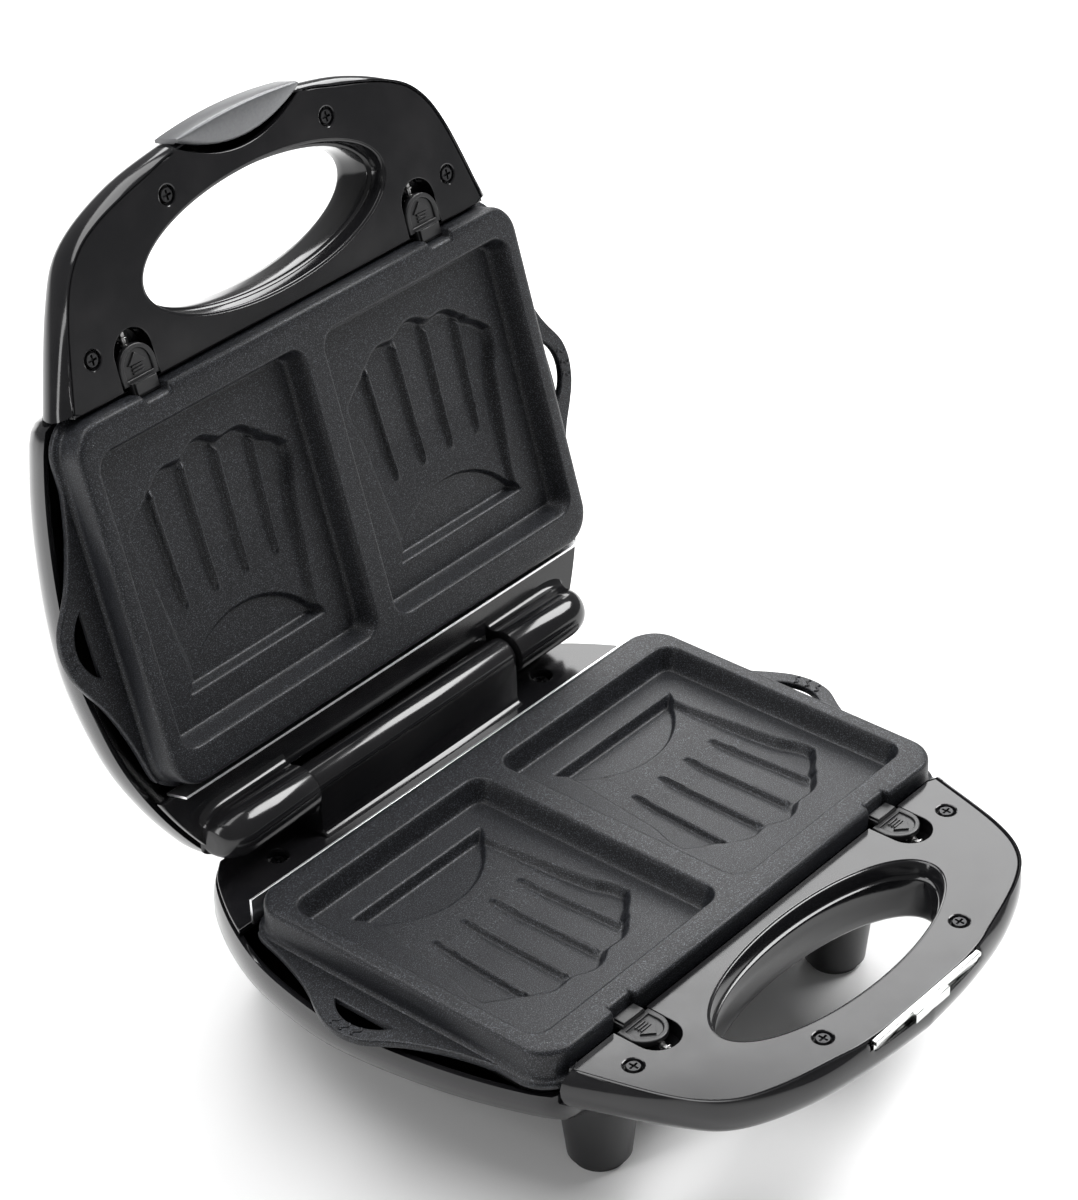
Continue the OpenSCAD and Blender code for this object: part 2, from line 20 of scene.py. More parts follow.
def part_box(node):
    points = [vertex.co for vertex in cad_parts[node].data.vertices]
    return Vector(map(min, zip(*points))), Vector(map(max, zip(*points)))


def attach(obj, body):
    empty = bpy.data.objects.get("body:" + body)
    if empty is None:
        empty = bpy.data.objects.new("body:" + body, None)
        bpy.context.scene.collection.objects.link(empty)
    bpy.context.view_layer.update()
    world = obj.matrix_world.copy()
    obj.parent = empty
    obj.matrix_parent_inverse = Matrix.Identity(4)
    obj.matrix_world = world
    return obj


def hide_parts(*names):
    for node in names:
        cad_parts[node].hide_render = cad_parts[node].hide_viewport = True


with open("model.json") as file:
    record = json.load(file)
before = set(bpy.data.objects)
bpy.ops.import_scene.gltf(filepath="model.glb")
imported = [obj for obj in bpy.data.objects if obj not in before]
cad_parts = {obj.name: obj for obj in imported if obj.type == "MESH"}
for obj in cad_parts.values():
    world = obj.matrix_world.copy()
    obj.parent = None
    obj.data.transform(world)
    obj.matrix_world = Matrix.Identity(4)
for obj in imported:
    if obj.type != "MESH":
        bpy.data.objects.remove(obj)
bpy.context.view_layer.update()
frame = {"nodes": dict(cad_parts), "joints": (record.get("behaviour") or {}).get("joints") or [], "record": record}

# %% [markdown]
# ## Two halves, one set of shapes
#
# The lid is the lower half turned over the plane where the plates meet, then swung open
# about the hinge. So every shape is drawn once, in millimetres, in the lower half's
# place, and a matrix puts it in the lower or the upper half. The hinge comes from the
# record, and the meeting plane from the top of the lower plate.

# %% Matrices for the lower half and the lid
MM = 0.001
hinge = next(j for j in frame["joints"] if j["name"] == "lid_hinge")
HINGE_Y, HINGE_Z = hinge["pos_m"][1] / MM, hinge["pos_m"][2] / MM
OPEN = math.radians(hinge["range_deg"][1])
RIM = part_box("lower_plate")[1].z / MM
HALF_GAP = 0.4
MEET = RIM + HALF_GAP
DRAWN_HINGE_Y = 68.7
SHIFT = HINGE_Y - DRAWN_HINGE_Y
SCALE = Matrix.Scale(MM, 4)
LOWER = SCALE @ Matrix.Translation((0, SHIFT, 0))
UPPER = (SCALE @ Matrix.Translation((0, HINGE_Y, HINGE_Z)) @ Matrix.Rotation(-OPEN, 4, "X")
         @ Matrix.Translation((0, -DRAWN_HINGE_Y, 2 * MEET - HINGE_Z)) @ Matrix.Rotation(math.pi, 4, "Y"))
print("rim", round(RIM, 2), "hinge", HINGE_Y, HINGE_Z)

# %% [markdown]
# ## The camera comes first
#
# The view looks down from the front left with a long lens, so the two halves keep their
# proportions. A camera is a matrix: its right, up and back directions, then its place.

# %% Camera
VIEW_AZ, VIEW_EL, VIEW_ROLL = map(math.radians, (-48.524, 32.899, -1.881))
TARGET = Vector((62.264, 54.280 + SHIFT, 114.0)) * MM
DISTANCE = 1.32443
back = Vector((math.sin(VIEW_AZ) * math.cos(VIEW_EL), -math.cos(VIEW_AZ) * math.cos(VIEW_EL),
               math.sin(VIEW_EL)))
right = Vector((0, 0, 1)).cross(back).normalized()
up = back.cross(right)
rolled_right = right * math.cos(VIEW_ROLL) + up * math.sin(VIEW_ROLL)
rolled_up = up * math.cos(VIEW_ROLL) - right * math.sin(VIEW_ROLL)
camera_data = bpy.data.cameras.new("camera")
camera_data.lens, camera_data.sensor_width = 102.12, 36
camera_data.clip_start, camera_data.clip_end = 0.05, 50
camera = bpy.data.objects.new("camera", camera_data)
bpy.context.scene.collection.objects.link(camera)
place = Matrix((rolled_right, rolled_up, back)).transposed().to_4x4()
place.translation = TARGET + back * DISTANCE
camera.matrix_world = place
bpy.context.scene.camera = camera
print("camera at", [round(v, 3) for v in place.translation])

# %% [markdown]
# ## Finishes as expressions
#
# A finish is a small graph of nodes. Wrapping a socket in a class with overloaded
# operators lets a mask be written as a sum, and each sum adds its Math node. Sockets 6
# and 7 of a Mix node are its two colours and output 2 is the mixed one.

# %% Shader wrapper
class Wire:
    """One output socket, usable in sums and products."""

    def __init__(self, finish, socket):
        self.finish, self.socket = finish, socket

    def math(self, operation, *values, clamp=False):
        return self.finish.node("ShaderNodeMath", {"operation": operation, "use_clamp": clamp},
                                dict(enumerate(values)))

    def __add__(self, other):
        return self.math("ADD", self, other)

    def __sub__(self, other):
        return self.math("SUBTRACT", self, other)

    def __rsub__(self, other):
        return self.math("SUBTRACT", other, self)

    def __mul__(self, other):
        return self.math("MULTIPLY", self, other)

    __radd__, __rmul__ = __add__, __mul__

    def ramp(self, low, high):
        """0 below low, 1 above high, straight between."""
        return self.math("MULTIPLY", self - low, 1 / (high - low), clamp=True)


class Finish:
    """A material with its graph."""

    def __init__(self, name):
        self.material = bpy.data.materials.new(name)
        self.material.use_nodes = True
        self.tree = self.material.node_tree
        self.shader = next(n for n in self.tree.nodes if n.type == "BSDF_PRINCIPLED")
        self.place = self.node("ShaderNodeTexCoord", {}, {}, "Object")

    def node(self, kind, settings, inputs, out=0):
        made = self.tree.nodes.new(kind)
        for key, value in settings.items():
            setattr(made, key, value)
        for key, value in inputs.items():
            self.feed(made.inputs[key], value)
        return Wire(self, made.outputs[out])

    def feed(self, socket, value):
        if isinstance(value, Wire):
            self.tree.links.new(value.socket, socket)
        else:
            socket.default_value = value

    def noise(self, scale, detail=3, roughness=0.5):
        return self.node("ShaderNodeTexNoise", {}, {"Vector": self.place, "Scale": scale,
                         "Detail": detail, "Roughness": roughness}, "Fac")

    def blend(self, mask, first, second):
        """Mix of two colours: first where the mask is 0, second where it is 1."""
        return self.node("ShaderNodeMix", {"data_type": "RGBA"},
                         {"Factor": mask, 6: (*first, 1), 7: (*second, 1)}, 2)

    def bump(self, height, strength, distance):
        return self.node("ShaderNodeBump", {}, {"Height": height, "Strength": strength,
                                                "Distance": distance}, "Normal")

    def surface(self, **inputs):
        """Feeds the main shader; underscores stand for the spaces in its socket names."""
        for key, value in inputs.items():
            value = (*value, 1) if key == "Base_Color" and isinstance(value, tuple) else value
            self.feed(self.shader.inputs[key.replace("_", " ")], value)
        return self


finishes = {}
print("finish tools ready")

# %% [markdown]
# ## Gloss black plastic
#
# The shells, panels and decks are polished moulded plastic: almost black, with sharp
# but slightly wavy reflections and a few dull patches from handling. A low roughness
# with a slow noise gives the patches, and a faint long bump gives the waviness.

# %% Gloss black
f = finishes["black_plastic"] = Finish("gloss_black_plastic")
handled = f.noise(38, 4, 0.6).ramp(0.42, 0.75)
fine = f.noise(900, 2)
f.surface(Base_Color=f.blend(handled, (0.0075, 0.0075, 0.0085), (0.012, 0.0115, 0.0125)),
          Roughness=0.10 + 0.08 * handled + 0.03 * fine, Specular_IOR_Level=0.45,
          Normal=f.bump(f.noise(14, 1) + 0.004 * fine, 0.5, 0.0006))
print("finish", f.material.name)

# %% [markdown]
# ## Satin black plastic
#
# The feet, the latch buttons and the cord gland are moulded in the same resin from an
# eroded tool, so they have a very fine grain and softer highlights. One fine noise
# serves both the roughness and the bump, so the two agree.

# %% Satin black
f = finishes["satin_black"] = Finish("satin_black_plastic")
grain = f.noise(1700, 2)
f.surface(Base_Color=f.blend(f.noise(60, 3), (0.009, 0.009, 0.010), (0.014, 0.014, 0.015)),
          Roughness=0.30 + 0.10 * grain, Normal=f.bump(grain, 0.15, 0.0001))
print("finish", f.material.name)

# %% [markdown]
# ## Speckled non-stick coating
#
# The plates carry a charcoal coating with fine bright flakes. Two noises make it: a
# fine one whose peaks are the flakes, and a broad one for the slow change of sheen. The
# same fine noise lifts the surface a little, so the flakes glint at a low angle.

# %% Non-stick
f = finishes["nonstick"] = Finish("speckled_nonstick")
flakes = f.noise(2600, 2, 0.6)
sparse = flakes.ramp(0.54, 0.66)
clouds = f.noise(30, 3)
f.surface(Base_Color=f.blend(sparse, (0.0028, 0.0031, 0.0042), (0.078, 0.083, 0.096)),
          Roughness=0.40 + 0.10 * clouds - 0.10 * sparse, Metallic=0.30 * sparse,
          Specular_IOR_Level=0.3, Normal=f.bump(flakes, 0.5, 0.00014))
print("finish", f.material.name)

# %% [markdown]
# ## Metals
#
# Bright catch strip, mill aluminium reflector, plated steel pins and springs, heat
# tinted element tube and blackened screws differ mostly in roughness and tint, so one
# recipe with a brushed noise makes them all.

# %% Metals
def metal(slot, name, colour, tint, rough, stretch=(1, 1, 1)):
    m = finishes[slot] = Finish(name)
    m.place = m.node("ShaderNodeMapping", {}, {"Vector": m.place, "Scale": stretch})
    brush = m.noise(260, 3, 0.6)
    m.surface(Base_Color=m.blend(brush, colour, tint), Metallic=1.0,
              Roughness=rough + 0.12 * brush, Normal=m.bump(brush, 0.12, 0.0001))


metal("chrome", "bright_catch", (0.55, 0.56, 0.55), (0.74, 0.75, 0.74), 0.16, (0.2, 6, 6))
metal("aluminium", "mill_aluminium", (0.66, 0.67, 0.68), (0.86, 0.86, 0.86), 0.26, (0.2, 6, 6))
metal("steel", "plated_steel", (0.50, 0.50, 0.50), (0.68, 0.67, 0.66), 0.24)
metal("element_steel", "heat_tinted_tube", (0.20, 0.16, 0.13), (0.36, 0.33, 0.32), 0.38)
metal("black_steel", "blackened_screw", (0.030, 0.030, 0.032), (0.07, 0.07, 0.072), 0.30)
print(len(finishes), "finishes so far")

# %% [markdown]
# ## Grey clip, rubber, ceramic, lamps and board
#
# The clip is grey plastic with a fine metal flake. The other small finishes are mixes
# of two close colours with the right roughness.

# %% Small finishes
def plain(slot, name, low, high, rough, scale, grain=0.2, **more):
    m = finishes[slot] = Finish(name)
    spots = m.noise(scale, 3)
    m.surface(Base_Color=m.blend(spots, low, high), Roughness=rough + 0.08 * spots,
              Normal=m.bump(m.noise(scale * 6, 2), grain, 0.0001), **more)


plain("grey_plastic", "flake_grey_plastic", (0.10, 0.102, 0.107), (0.155, 0.158, 0.163), 0.27, 900,
      0.06, Metallic=0.35)
plain("rubber", "foot_rubber", (0.016, 0.016, 0.016), (0.03, 0.03, 0.029), 0.62, 300)
plain("ceramic", "white_ceramic", (0.66, 0.63, 0.56), (0.78, 0.76, 0.70), 0.42, 120)
plain("red_lens", "red_lens", (0.50, 0.015, 0.01), (0.60, 0.03, 0.02), 0.14, 80)
plain("green_lens", "green_lens", (0.02, 0.38, 0.06), (0.04, 0.46, 0.09), 0.14, 80)
plain("board", "board_green", (0.02, 0.13, 0.05), (0.03, 0.20, 0.08), 0.40, 200)
print(len(finishes), "finishes")

# %% [markdown]
# ## Sizes that the pieces share
#
# Seen from above, the body is a soft barrel that narrows to the handle. A few control
# points on its half outline, as (y, half width), are enough for a smooth curve. The
# finger opening, the latches, the screws and the clip's well have one named place each,
# so a hole and what sits in it always agree.

# %% Shared sizes, in millimetres
PLAN = [(82, 92), (73, 102), (52, 115), (27, 125), (-3, 130.5), (-23, 131), (-48, 128),
        (-75, 122), (-101, 113), (-138, 98), (-157, 85), (-169, 60), (-175, 30), (-177.5, 0)]
PANEL_PLAN = [(-102, 107), (-136, 97), (-153, 87), (-162, 72), (-169, 47), (-172.5, 31),
              (-174.5, 0)]
PANEL_Z, DECK_Z, TAB_Z = 74.0, 66.1, 68.6
OPENING = (0.0, -132.5)
GRIP = (62.0, 24.0)
LATCH_X, LATCH_R = 74.5, 8.5
SCREWS = [(92.4, -118.2), (40.8, -159.7)]
SCREW_R = 3.7
DECK_SCREW = (76.0, 66.5)
CLIP_X = 31.6
CATCH_X, CATCH_Y = 31.4, -173.3
print("panel at", PANEL_Z, "deck at", DECK_Z, "tabs at", TAB_Z)

# %% [markdown]
# ## Curves
#
# Outlines could be drawn by hand in many short steps. It is easier to keep few points
# and let a smooth curve, an arc or an ellipse fill in the rest. To change the number of
# points on an outline, a ray from its middle finds the edge in each direction, so rings
# of different shape still have points that match.

# %% Curve helpers
def smooth(points, n=8):
    """Points on a smooth curve through the given ones."""
    p, out = [np.array(q, float) for q in points], []
    for i in range(len(p) - 1):
        a, b, c, d = p[max(i - 1, 0)], p[i], p[i + 1], p[min(i + 2, len(p) - 1)]
        for t in np.arange(n) / n:
            out.append(0.5 * (2 * b + (c - a) * t + (2 * a - 5 * b + 4 * c - d) * t * t
                              + (3 * b - a - 3 * c + d) * t ** 3))
    return np.array(out + [p[-1]])


def mirrored(half):
    """Closed outline, counter-clockwise, from a half outline of (y, half width)."""
    right_side = [(w, y) for y, w in half[::-1]]
    left_side = [(-w, y) for y, w in half if w > 0.01]
    return np.array(right_side + left_side)


def arc(cx, cy, r, a0, a1, n=12):
    return [(cx + r * math.cos(a), cy + r * math.sin(a))
            for a in np.radians(np.linspace(a0, a1, n + 1))]


def oval(a, b, n=120, centre=OPENING):
    t = np.linspace(0, 2 * math.pi, n, endpoint=False)
    return np.column_stack([centre[0] + a * np.cos(t), centre[1] + b * np.sin(t)])


def ray_radius(outline, centre, angles):
    """How far the outline lies from the centre in each direction."""
    d = outline - np.array(centre)
    a = np.arctan2(d[:, 1], d[:, 0])
    r = np.hypot(d[:, 0], d[:, 1])
    order = np.argsort(a)
    a, r = a[order], r[order]
    a = np.concatenate([a - 2 * math.pi, a, a + 2 * math.pi])
    r = np.tile(r, 3)
    x, y = r * np.cos(a), r * np.sin(a)
    out = []
    for t in angles:
        t = (t + math.pi) % (2 * math.pi) - math.pi
        k = np.searchsorted(a, t)
        p, q = np.array([x[k - 1], y[k - 1]]), np.array([x[k], y[k]])
        u, e = np.array([math.cos(t), math.sin(t)]), q - p
        cross = u[0] * e[1] - u[1] * e[0]
        out.append(abs((p[0] * e[1] - p[1] * e[0]) / cross) if abs(cross) > 1e-9 else r[k])
    return np.array(out)


body_outline = mirrored(smooth(PLAN))
print("outline points", len(body_outline))

# %% [markdown]
# ## Mesh tools
#
# A loft joins rings of points, which suits the rounded shells. Every piece ends in the
# same way: moved to its half, shaded, given its finish, and tied to its moving body.

# %% Loft and finish a piece
def finish_piece(mesh, name, half, body, slot, nodes=(), look=None, sharp=35):
    mesh.transform(half)
    if half.determinant() < 0:
        mesh.flip_normals()
    mesh.shade_smooth()
    mesh.set_sharp_from_angle(angle=math.radians(sharp))
    mesh.materials.clear()
    mesh.materials.append(finishes[look or slot].material)
    obj = bpy.data.objects.new(name, mesh)
    bpy.context.scene.collection.objects.link(obj)
    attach(obj, body)
    if nodes:
        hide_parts(*nodes)
    return obj


def loft(rings, close_first=False, close_last=False, cyclic=True):
    n = len(rings[0])
    verts = [tuple(map(float, p)) for ring in rings for p in ring]
    faces = []
    for k in range(len(rings) - 1):
        for i in range(n if cyclic else n - 1):
            j = (i + 1) % n
            faces.append((k * n + i, k * n + j, (k + 1) * n + j, (k + 1) * n + i))
    if close_first:
        faces.append(tuple(reversed(range(n))))
    if close_last:
        faces.append(tuple(range((len(rings) - 1) * n, len(rings) * n)))
    mesh = bpy.data.meshes.new("loft")
    mesh.from_pydata(verts, [], faces)
    return mesh


def ring(outline, z):
    return [(x, y, z) for x, y in outline]


HALVES = [("lower", LOWER, "base"), ("upper", UPPER, "lid")]
print("halves", [name for name, _, _ in HALVES])

# %% [markdown]
# ## Flat pieces
#
# Panels, decks, tabs and buttons are flat mouldings with holes and soft edges. Blender's
# 2D curves fill an outline with its holes and bevel the rims by themselves, which is
# cleaner than cutting holes in a mesh. Outer loops must run one way and holes the other.

# %% Slab, strip and join
def rectangle(x0, y0, x1, y1):
    return [(x0, y0), (x1, y0), (x1, y1), (x0, y1)]


def curve_mesh(curve, lift):
    """Turns a curve into a mesh, raised by lift."""
    obj = bpy.data.objects.new(curve.name, curve)
    bpy.context.scene.collection.objects.link(obj)
    bpy.context.view_layer.update()
    mesh = bpy.data.meshes.new_from_object(obj.evaluated_get(bpy.context.evaluated_depsgraph_get()))
    bpy.data.objects.remove(obj)
    mesh.transform(Matrix.Translation((0, 0, lift)))
    return mesh


def slab(loops, z0, z1, edge=0.4):
    """A flat piece with holes and rounded edges; the first loop is outside."""
    curve = bpy.data.curves.new("slab", "CURVE")
    curve.dimensions, curve.fill_mode = "2D", "BOTH"
    for number, loop in enumerate(loops):
        pts = [tuple(p) for p in loop]
        area = sum(a[0] * b[1] - b[0] * a[1] for a, b in zip(pts, pts[1:] + pts[:1]))
        if (area < 0) == (number == 0):
            pts = pts[::-1]
        spline = curve.splines.new("POLY")
        spline.points.add(len(pts) - 1)
        for point, (x, y) in zip(spline.points, pts):
            point.co = (x, y, 0, 1)
        spline.use_cyclic_u = True
    curve.extrude = (z1 - z0) / 2 - edge
    curve.bevel_depth, curve.bevel_resolution, curve.offset = edge, 2, -edge
    return curve_mesh(curve, (z0 + z1) / 2)


def joined(*meshes):
    """One mesh from several, all in the same place."""
    verts, faces = [], []
    for m in meshes:
        start = len(verts)
        verts += [tuple(v.co) for v in m.vertices]
        faces += [tuple(i + start for i in p.vertices) for p in m.polygons]
    mesh = bpy.data.meshes.new("joined")
    mesh.from_pydata(verts, [], faces)
    return mesh


def strip(points, radius, z):
    """A rounded bead along a flat path, for raised marks."""
    curve = bpy.data.curves.new("strip", "CURVE")
    curve.dimensions = "3D"
    spline = curve.splines.new("POLY")
    spline.points.add(len(points) - 1)
    for point, (x, y) in zip(spline.points, points):
        point.co = (x, y, 0, 1)
    curve.bevel_depth, curve.bevel_resolution, curve.use_fill_caps = radius, 2, True
    return curve_mesh(curve, z)


print("flat tools ready")

# %% [markdown]
# ## Shells
#
# A shell is a shallow tub with a handle loop in front. The tub's levels are the body
# outline moved inward along its normals by a rounded profile, and cut off behind the
# handle. A level is (height, inset, shift of the outline in y, where it is cut off).
# The lid's shell is lowered at the back so that the barrel clears it.

# %% Tub
HALF_PLAN = smooth(PLAN)
MOUTH_Z = 63.0
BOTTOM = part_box("lower_shell")[0].z / MM
TUB_MIDDLE = -12
BARREL_GAP = (58.5, 64, 56)


def inward(half, d):
    """The half outline moved in by d."""
    t = np.gradient(half, axis=0)
    length = np.hypot(t[:, 0], t[:, 1])
    y = half[:, 0] + d * np.abs(t[:, 1]) / length * np.where(t[:, 1] < 0, 1, -1)
    w = np.maximum(half[:, 1] - d * np.abs(t[:, 0]) / length, 0)
    y[0] = half[0, 0] - d
    w[-1] = 0
    return np.column_stack([y, w])


def tub_ring(z, d, shift, cut, n=220):
    half = inward(HALF_PLAN, d)
    half[:, 0] += shift
    keep = half[half[:, 0] > cut]
    edge_w = float(np.interp(cut, half[::-1, 0], half[::-1, 1]))
    corner = 5.0
    half = np.vstack([keep[keep[:, 0] > cut + corner],
                      [(cut + corner * 0.35, edge_w - 0.4), (cut, edge_w - corner), (cut, 0.02)]])
    outline = mirrored(half)
    angles = np.linspace(0, 2 * math.pi, n, endpoint=False)
    r = ray_radius(outline, (0, TUB_MIDDLE), angles)
    return [(c * q, TUB_MIDDLE + s * q, z) for c, s, q in zip(np.cos(angles), np.sin(angles), r)]


def tub(bulge, relieved):
    levels = [(MOUTH_Z, 0.0, 0, -101), (60, 0.25, 1.4, -101), (56, 0.9, 3, -100.8),
              (51, 2.4, 5.4, -100.2), (46, 5.0, 9.5, -98.8), (42, 8.4, 14, -97), (38, 12.6, 18, -94.5),
              (34.5, 18.5, 21.5, -90.5), (32, 24, 24.5, -86.5), (30.6, 28.5, 26.5, -83),
              (30, 33, 28, -79)]
    scale = (MOUTH_Z - BOTTOM) / (MOUTH_Z - levels[-1][0])
    outer = [tub_ring(MOUTH_Z - (MOUTH_Z - z) * scale, d, s * bulge, c) for z, d, s, c in levels]
    inner = [tub_ring(z, d, s * bulge, c) for z, d, s, c in
             [(52, 5, 3, -97), (60, 2.6, 1, -98.4), (62.7, 2.5, 0, -98.6)]]
    rim = [tub_ring(MOUTH_Z, 2.2, 0, -98.9)]
    rings = inner + rim + outer
    if relieved:
        gap_x, gap_y, gap_z = BARREL_GAP
        rings = [[(x, y, min(z, gap_z) if abs(x) < gap_x and y > gap_y else z) for x, y, z in points]
                 for points in rings]
    return loft(rings, close_last=True)


print("shell bottom at", round(BOTTOM, 2))

# %% [markdown]
# The handle is a loft too. It runs down the outside, under the rounded edge and up inside
# the finger opening, so the lining of the opening flares into the underside. Its upper
# lip blends from the panel's edge to the body's outline. The lower handle has a notch in
# its front edge for the catch.

# %% Handle loop and the two shells
CATCH_NOTCH = (31.8, -165, 69.0)


def handle_loop(notched, n=240):
    angles = np.linspace(0, 2 * math.pi, n, endpoint=False)
    c, s = np.cos(angles), np.sin(angles)

    def radii(half, rear):
        w = float(np.interp(rear, half[::-1, 0], half[::-1, 1]))
        half = np.vstack([[(rear, w)], half[half[:, 0] < rear - 0.5]])
        return ray_radius(mirrored(half), OPENING, angles)

    def level(z, d, rear, seat=0.0):
        """Seat 1 follows the panel's edge, seat 0 the outside of the body."""
        r = (1 - seat) * radii(inward(HALF_PLAN, d), rear)
        if seat:
            r = r + seat * radii(inward(smooth(PANEL_PLAN), d), rear)
        ring_points = [(a * q, OPENING[1] + b * q, z) for a, b, q in zip(c, s, r)]
        if notched:
            notch_x, notch_y, notch_z = CATCH_NOTCH
            ring_points = [(x, y, min(z, notch_z) if abs(x) < notch_x and y < notch_y else z)
                           for x, y, z in ring_points]
        return ring_points

    def hole(z, d):
        return [(a * (GRIP[0] + d), OPENING[1] + b * (GRIP[1] + d), z) for a, b in zip(c, s)]

    rings = [level(66, -0.3, -102, 1), level(73.9, -0.3, -102, 1), level(74.35, -0.7, -102, 1),
             level(74.25, -1.3, -102, 1), level(73.6, 0, -102, 0.70), level(72.4, 0, -102, 0.38),
             level(70.4, 0, -102, 0.12), level(67.5, 0, -102), level(64.5, 0.3, -101.8),
             level(61.5, 1.2, -101), level(59, 2.8, -99.5), level(57, 5.0, -98), level(55.4, 8.2, -96.8),
             level(54.2, 12, -96)]
    rings += [hole(z, d) for z, d in
              [(50.6, 7), (49.0, 3.5), (48.3, 1.4), (48.2, 0), (48.6, -1), (50, -1.8), (54, -2.4),
               (60, -2.6), (66.3, -2.7), (67.0, -2.4), (67.3, -1.2), (67.8, -0.9), (73.2, -0.6),
               (73.6, -0.2), (73.6, 1)]]
    return loft(rings)


for name, half, body in HALVES:
    shell_mesh = joined(tub(1.0 if name == "lower" else 0.5, name == "upper"),
                        handle_loop(name == "lower"))
    finish_piece(shell_mesh, name + "_shell_body", half, body, "black_plastic",
                 (name + "_shell", name + "_collar"), sharp=50)
print("shells made")

# %% [markdown]
# ## Plates
#
# A cast plate is a height at every point: flat rim, drafted pocket walls with soft
# edges, and a hat pressed deeper into each floor, with a crown, four ribs and a band.
# Signed distances to these outlines, passed through a smooth step, give all the
# roundings at once, and a soft union of distances gives the scallops of the crown. A
# mesh with carved pockets would need far more care at every corner.

# %% Plate heights
POCKET_X, POCKET_Y, POCKET_HX, POCKET_HY = 56.5, -30.0, 52.0, 59.0
POCKET_DEPTH, CROWN_DEPTH, BAND_DEPTH = 9.0, 3.9, 4.6
PLATE_X, PLATE_FRONT, PLATE_BACK, PLATE_R = 115, -100.5, 42, 13
TOP_X, TOP_Y, TOP_MIDDLE, TOP_R = 110.4, 66.65, -29.25, 8.4
SCALLOPS = [(0, -104.5, 11), (17, -101.5, 10.5), (-17, -101.5, 10.5), (29.5, -92.5, 10), (-29.5, -92.5, 10)]
RIB_PLACES = (-25, -8.3, 8.3, 25)


def step(d, width):
    """0 outside, 1 well inside a signed distance, with a soft slope of that width."""
    t = np.clip(-d / width, 0, 1)
    return t * t * (3 - 2 * t)


def box_distance(x, y, hx, hy, r):
    qx, qy = np.abs(x) - hx + r, np.abs(y) - hy + r
    return np.hypot(np.maximum(qx, 0), np.maximum(qy, 0)) + np.minimum(np.maximum(qx, qy), 0) - r


def merge(a, b, soft):
    """Union of two signed distances with the corners between them filled softly."""
    share = np.clip(0.5 + 0.5 * (b - a) / soft, 0, 1)
    return b + (a - b) * share - soft * share * (1 - share)


def hat_depths(x, y):
    """Depth of the hat below the pocket floor; x from its middle, y from the plate's back."""
    half_w = 33 + 6 * np.clip((-40 - y) / 52, 0, 1)
    crown = np.maximum(np.maximum(np.abs(x) - half_w, y + 29), -95 - y)
    crown = np.minimum(crown, np.maximum(np.maximum(np.abs(x) - 27, y + 60), -104 - y))
    for cx, cy, r in SCALLOPS:
        crown = merge(crown, np.hypot(x - cx, y - cy) - r, 7.0)
    band = np.maximum(np.hypot(x, y + 9.5) - 40.5, y + 28)
    fade = 1 - 0.4 * np.clip((y + 72) / 32, 0, 1)
    depth = CROWN_DEPTH * fade * step(crown, 2.6)
    for cx in RIB_PLACES:
        centre = cx * (0.93 + 0.13 * np.clip((-58 - y) / 62, 0, 1))
        width = 1.5 + 0.5 * np.clip((-58 - y) / 55, 0, 1)
        rib = np.maximum(np.abs(x - centre) - width, (y + 57) * 0.3)
        rib = np.maximum(rib, crown + 2.2)
        depth = depth * (1 - 0.6 * step(rib, 1.5))
    return np.maximum(depth, BAND_DEPTH * step(band, 2.6))


def plate_height(x, y):
    height = np.full_like(x, RIM)
    for side in (-1, 1):
        d = box_distance(x - side * POCKET_X, y - POCKET_Y, POCKET_HX, POCKET_HY, 8)
        height -= POCKET_DEPTH * (0.55 * step(d, 4.4) + 0.45 * np.clip(-(d + 0.6) / 3.2, 0, 1))
        height -= np.where(d < -4, hat_depths(x - side * POCKET_X, y - PLATE_BACK), 0)
    return height


def plate_top(spacing=0.6):
    xs = np.arange(-TOP_X, TOP_X + 0.01, spacing)
    ys = np.arange(TOP_MIDDLE - TOP_Y, TOP_MIDDLE + TOP_Y + 0.01, spacing)
    x, y = np.meshgrid(xs, ys)
    z = plate_height(x, y) - 0.02
    verts = np.column_stack([x.ravel(), y.ravel(), z.ravel()])
    nx, ny = len(xs), len(ys)
    inside = box_distance(x, y - TOP_MIDDLE, TOP_X, TOP_Y, TOP_R).ravel() <= 0.0
    start = (np.arange(ny - 1)[:, None] * nx + np.arange(nx - 1)).ravel()
    quads = np.column_stack([start, start + 1, start + nx + 1, start + nx])
    faces = quads[inside[quads].all(axis=1)].tolist()
    mesh = bpy.data.meshes.new("plate_top")
    mesh.from_pydata(verts.tolist(), [], faces)
    return mesh


heights = plate_height(*np.meshgrid(np.linspace(5, 108, 50), np.linspace(-88, 28, 50)))
print("pocket depth", round(RIM - float(heights.min()), 2), "mm")

# %% [markdown]
# The wall of the plate is a loft round a rounded rectangle. Two notches in its front
# edge take the noses of the latches, only in the upper levels. The flange below carries
# a tab on each side, a slab with a curved slot, and on the tab three raised waves that
# mean heat. The visible plate is open below, where the reflector hides it.

# %% Plate wall, flange and tabs
NOTCH = 6.4


